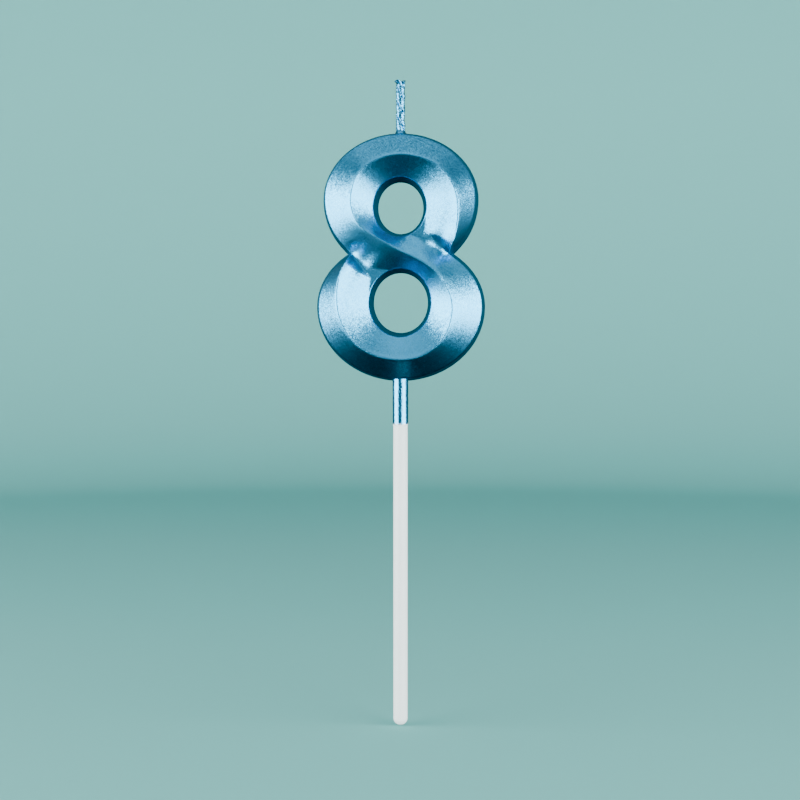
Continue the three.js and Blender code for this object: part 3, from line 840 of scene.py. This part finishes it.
class CANDLE_OT_wick(bpy.types.Operator):
    """Lay up the three coated plies of the wick and the lacquer that pooled at its root"""

    bl_idname = "candle.wick"
    bl_label = "Wick"
    bl_options = {"REGISTER", "UNDO"}

    def ply(self, index, settings, root):
        """One ply: a section carried up a helix. In each direction the section reaches, softly,
        to the nearest of four limits: the two planes that part it from its neighbours, a
        circle about the wick's axis, and a circle about its own centre that leaves a shallow
        groove. Lumps of the coat and the strands under it ripple both circles, the coat
        thickens at the root, and at the cut end the ply leans outwards."""
        radius = settings.ply_diameter / 2
        reach = settings.diameter / 2 - radius
        z = np.linspace(WICK_FOOT, WICK_TOP, 300)[:, None]
        around = np.linspace(0, TURN, 60, endpoint=False)[None]
        phase = TURN * index / len(WICK_NODES)
        angle = phase - TURN * z / settings.lay

        wind = around * 2.5 + np.pi * 5 * z / settings.strand_pitch
        strands = np.abs(np.cos(wind)) ** 0.7 - 1
        lumps = ripple(np.cos(around) * 1.3 + index, z / LUMP_PITCH + np.sin(around),
                       seed=40 + index)
        pooled = ROOT_POOL * np.exp(-np.clip(z - root, 0, None) / ROOT_FALL) * (z > root)
        uneven = settings.lump * (lumps - 0.7) + settings.groove * strands * 0.5
        girth = settings.diameter / 2 + np.minimum(uneven + pooled, COAT_LIMIT)
        fill = settings.fill + 1.5 * uneven
        across = reach * np.sin(math.pi / len(WICK_NODES)) - PLY_GAP
        limits = [
            across / np.clip(np.cos(around - math.pi * 5 / 6), 1e-3, None),
            across / np.clip(np.cos(around + math.pi * 5 / 6), 1e-3, None),
            np.sqrt(girth**2 - (reach * np.sin(around)) ** 2) - reach * np.cos(around),
            fill,
        ]
        size = sum((limit / MM) ** -12.0 for limit in limits) ** (-1 / 12) * MM

        top = np.clip(1 - (WICK_TOP - z) / HOOK_RISE, 0, 1)
        lean = settings.hook * (0.2, 0.1, 1.0)[index] * top**2
        out = np.stack(np.broadcast_arrays(np.cos(angle), np.sin(angle), 0 * z), -1)
        slope = TURN * reach / settings.lay
        tangent = np.stack(np.broadcast_arrays(
            np.sin(angle) * slope, -np.cos(angle) * slope, 1 + 0 * z), -1)
        tangent /= np.linalg.norm(tangent, axis=-1, keepdims=True)
        side = np.cross(tangent, out)
        centre = out * (reach + lean)[..., None] + np.stack(
            np.broadcast_arrays(0 * z, 0 * z, z), -1)
        ring = (centre + (np.cos(around)[..., None] * out + np.sin(around)[..., None] * side)
                * size[..., None])
        shut = np.repeat(centre[[0, -1]], ring.shape[1], axis=1)
        half = shut + (ring[[0, -1]] - shut) * 0.8
        half[1, :, 2] += 0.02 * MM
        return np.concatenate([shut[:1], half[:1], ring, half[1:], shut[1:]])

    def execute(self, context):
        scene = context.scene
        settings = scene.candle_wick
        numeral = Numeral(scene.candle_numeral)
        root = float(numeral.top_of_wall(0.0, 0.0))
        coat = blue_lacquer(
            "coated_wick", scene.candle_finish, roughness=(0.24, 0.34), flake=0.8, tilt=1.6,
            coat=0.5, coat_roughness=0.2)
        for index, node in enumerate(WICK_NODES):
            points, quads = surface(self.ply(index, settings, root))
            mesh = mesh_from_quads(f"{node}_coated", points, quads)
            add_piece(mesh, coat, node, sharp=60)

        # The pooled lacquer is a ring turned about the axis whose foot follows the wall.
        t = np.linspace(0, TURN, 96, endpoint=False)[None]
        profile = np.array([
            (0.80, -0.7), (1.02, -0.7), (1.03, -0.12), (1.22, -0.03), (1.42, 0.0), (1.36, 0.06),
            (1.2, 0.14), (1.09, 0.28), (1.03, 0.45), (0.98, 0.6), (0.93, 0.66), (0.86, 0.62),
            (0.8, 0.5), (0.78, 0.1)]) * MM
        radius, height = profile.T[:, :, None]
        spread = np.clip(radius / MM - 1, 0, 1)
        radius = radius * (1 + 0.22 * spread * ripple(np.cos(t), np.sin(t), 5, lowest=2.2))
        x, y = radius * np.cos(t), radius * np.sin(t)
        height = height * (1 + 0.3 * ripple(np.cos(t), np.sin(t), 6, lowest=2.0))
        points = np.stack([x, y, numeral.top_of_wall(x, y) + height], -1)
        points = np.concatenate([points, points[:1]])
        flat, quads = surface(points)
        add_piece(mesh_from_quads("wick_root_lacquer", flat, quads), coat, None)
        return {"FINISHED"}


class CANDLE_OT_pick(bpy.types.Operator):
    """Turn the white pick with its round tip"""

    bl_idname = "candle.pick"
    bl_label = "Pick"
    bl_options = {"REGISTER", "UNDO"}

    def execute(self, context):
        scene = context.scene
        radius, top = PICK_BOX[1].x, PICK_BOX[1].z
        chamfer = scene.candle_pick.end_chamfer
        dome = np.linspace(0, math.pi / 2, 25)
        profile = np.concatenate([
            np.stack([radius * np.sin(dome), radius * (1 - np.cos(dome))], -1),
            np.stack([np.full(60, radius), np.linspace(radius, top - chamfer, 61)[1:]], -1),
            [(radius - chamfer, top), (0, top)],
        ])
        t = np.linspace(0, TURN, 96, endpoint=False)
        r, z = profile.T[:, :, None]
        points = np.stack(np.broadcast_arrays(r * np.cos(t), r * np.sin(t), z), -1)
        flat, quads = surface(points)
        mesh = mesh_from_quads("pick_rod", flat, quads)
        add_piece(mesh, white_plastic(scene.candle_finish), "pick", sharp=30)
        return {"FINISHED"}


class CANDLE_OT_collar(bpy.types.Operator):
    """Spray the collar of lacquer on the pick, with an uneven lower edge"""

    bl_idname = "candle.collar"
    bl_label = "Collar"
    bl_options = {"REGISTER", "UNDO"}

    def execute(self, context):
        scene = context.scene
        settings = scene.candle_pick
        low, high = COLLAR_BOX
        inner = PICK_BOX[1].x + settings.clearance
        outer = high.x
        t = np.linspace(0, TURN, 120, endpoint=False)[None]
        wander = settings.edge_wander * ripple(np.cos(t), np.sin(t), 12, lowest=1.7)
        foot = low.z + COLLAR_LIFT + wander
        s = crowded(70, both=False)[:, None]
        z = foot + (high.z - foot) * s
        thin = np.clip((z - foot) / COLLAR_TAPER, 0, 1) ** 0.5
        runs = ripple(np.cos(t) * 3, np.sin(t) * 3 + z / RUN_PITCH, 13)
        wall = (outer - inner) * (0.25 + 0.75 * thin) + COLLAR_RUN * runs * thin
        outside = np.stack([(inner + wall) * np.cos(t), (inner + wall) * np.sin(t), z], -1)
        down = np.concatenate([0 * t + high.z, foot])
        inside = np.stack(np.broadcast_arrays(inner * np.cos(t), inner * np.sin(t), down), -1)
        points = np.concatenate([outside, inside, outside[:1]])
        flat, quads = surface(points)
        mesh = mesh_from_quads("pick_collar_coat", flat, quads)
        coat = blue_lacquer(
            "metallic_coat", scene.candle_finish, roughness=(0.2, 0.28), flake=0.8, tilt=1.0,
            coat=0.3, coat_roughness=0.2, streak=(1, 1, 0.5), fade=(low.z, settings.fade))
        add_piece(mesh, coat, "pick_collar")
        return {"FINISHED"}


class CANDLE_OT_stage(bpy.types.Operator):
    """Set up the pale floor with its sweep, the soft lights and the camera"""

    bl_idname = "candle.stage"
    bl_label = "Stage"
    bl_options = {"REGISTER", "UNDO"}

    def floor(self, settings):
        """A round floor that curves up into a wall: a profile turned about the candle."""
        flat = np.linspace(0.02, settings.floor_radius, 12)
        turn = np.linspace(0, math.pi / 2, 25)[1:]
        sweep_r = settings.floor_radius + settings.sweep * np.sin(turn)
        sweep_z = settings.sweep * (1 - np.cos(turn))
        radius = np.concatenate([[0], flat, sweep_r, sweep_r[-1:]])
        height = np.concatenate([[0], 0 * flat, sweep_z, sweep_z[-1:] + settings.wall])
        t = np.linspace(0, TURN, 128, endpoint=False)
        points = np.stack(np.broadcast_arrays(
            radius[:, None] * np.cos(t), radius[:, None] * np.sin(t),
            height[:, None] - FLOOR_DROP), -1)
        flat_points, quads = surface(points)
        mesh = bpy.data.meshes.new("floor")
        mesh.from_pydata(flat_points, [], quads)
        mesh.polygons.foreach_set("use_smooth", np.ones(len(mesh.polygons), bool))
        material, tree, shader = new_material("floor_paper")
        place = tree.nodes.new("ShaderNodeTexCoord").outputs["Object"]
        grain = add_node(tree, "ShaderNodeTexNoise", Vector=place, Scale=600, Detail=4)
        shade = tuple(0.97 * v for v in settings.floor)
        tint = add_node(
            tree, "ShaderNodeMix", {"data_type": "RGBA"}, Factor=grain.outputs["Fac"],
            i6=rgba(settings.floor), i7=rgba(shade))
        tree.links.new(tint.outputs[2], shader.inputs["Base Color"])
        shader.inputs["Roughness"].default_value = 0.9
        shader.inputs["Specular IOR Level"].default_value = 0.1
        mesh.materials.append(material)
        floor = bpy.data.objects.new("floor", mesh)
        bpy.context.scene.collection.objects.link(floor)
        floor.visible_glossy = False
        floor.visible_shadow = False

    def light(self, name, power, place, size):
        """A soft rectangular light that faces the numeral."""
        data = bpy.data.lights.new(name, "AREA")
        data.shape = "RECTANGLE"
        data.size, data.size_y = size
        data.energy = power
        lamp = bpy.data.objects.new(name, data)
        bpy.context.scene.collection.objects.link(lamp)
        lamp.location = place
        facing = Vector(LIGHT_AIM) - place
        lamp.rotation_euler = facing.to_track_quat("-Z", "Y").to_euler()
        lamp.visible_camera = False

    def surroundings(self):
        """What the lacquer sees beyond the lights: a dim blue in front, pale at the sides, a
        deep blue green behind and nearly black below."""
        world = bpy.data.worlds.new("studio")
        world.use_nodes = True
        tree = world.node_tree
        tree.nodes.clear()
        place = tree.nodes.new("ShaderNodeTexCoord").outputs["Generated"]
        axes = add_node(tree, "ShaderNodeSeparateXYZ", Vector=place)
        tint = SURROUND
        for axis, start, end, zone in ZONES:
            reach = add_node(
                tree, "ShaderNodeMapRange", {"interpolation_type": "SMOOTHSTEP"},
                Value=axes.outputs[axis], From_Min=start, From_Max=end)
            tint = add_node(
                tree, "ShaderNodeMix", {"data_type": "RGBA"}, Factor=reach.outputs[0],
                i6=tint, i7=zone).outputs[2]
        glow = add_node(tree, "ShaderNodeBackground", Color=tint, Strength=1.0)
        output = tree.nodes.new("ShaderNodeOutputWorld")
        tree.links.new(glow.outputs[0], output.inputs["Surface"])
        bpy.context.scene.world = world

    def execute(self, context):
        scene = context.scene
        settings = scene.candle_stage
        self.floor(settings)
        self.surroundings()
        for name, power, direction, distance, size in LIGHTS:
            place = Vector(LIGHT_AIM) + Vector(direction).normalized() * distance
            self.light(name, getattr(settings, power), place, size)

        data = bpy.data.cameras.new("camera")
        data.lens = settings.lens
        data.sensor_width = 36.0
        data.clip_start, data.clip_end = 0.01, 10.0
        camera = bpy.data.objects.new("camera", data)
        scene.collection.objects.link(camera)
        camera.location = CAMERA_PLACE
        facing = Vector(CAMERA_AIM) - camera.location
        camera.rotation_euler = facing.to_track_quat("-Z", "Y").to_euler()
        scene.camera = camera
        scene.view_settings.view_transform = "AgX"
        scene.view_settings.look = "AgX - Punchy"
        return {"FINISHED"}


class CANDLE_PT_build(bpy.types.Panel):
    """The candle's pieces, each with its button and its sizes"""

    bl_idname = "CANDLE_PT_build"
    bl_label = "Number Candle"
    bl_space_type = "VIEW_3D"
    bl_region_type = "UI"
    bl_category = "Candle"

    def draw(self, context):
        layout = self.layout
        for operators, settings in (
            (("candle.numeral",), context.scene.candle_numeral),
            (("candle.wick",), context.scene.candle_wick),
            (("candle.pick", "candle.collar"), context.scene.candle_pick),
            ((), context.scene.candle_finish),
            (("candle.stage",), context.scene.candle_stage),
        ):
            box = layout.box()
            for name in operators:
                box.operator(name)
            for name in settings.bl_rna.properties.keys():
                if name not in ("rna_type", "name"):
                    box.prop(settings, name)


SETTINGS = {
    "candle_numeral": NumeralSettings,
    "candle_wick": WickSettings,
    "candle_pick": PickSettings,
    "candle_finish": FinishSettings,
    "candle_stage": StageSettings,
}
CLASSES = (
    *SETTINGS.values(), CANDLE_OT_numeral, CANDLE_OT_wick, CANDLE_OT_pick, CANDLE_OT_collar,
    CANDLE_OT_stage, CANDLE_PT_build,
)


def register():
    """Adds the classes, and a pointer on the scene to each group of settings."""
    for cls in CLASSES:
        bpy.utils.register_class(cls)
    for name, cls in SETTINGS.items():
        setattr(bpy.types.Scene, name, bpy.props.PointerProperty(type=cls))


def unregister():
    """Takes them away again."""
    for name in SETTINGS:
        delattr(bpy.types.Scene, name)
    for cls in reversed(CLASSES):
        bpy.utils.unregister_class(cls)


def main():
    """Builds every piece and the stage."""
    register()
    bpy.ops.candle.numeral()
    bpy.ops.candle.wick()
    bpy.ops.candle.pick()
    bpy.ops.candle.collar()
    bpy.ops.candle.stage()


if __name__ == "__main__":
    main()
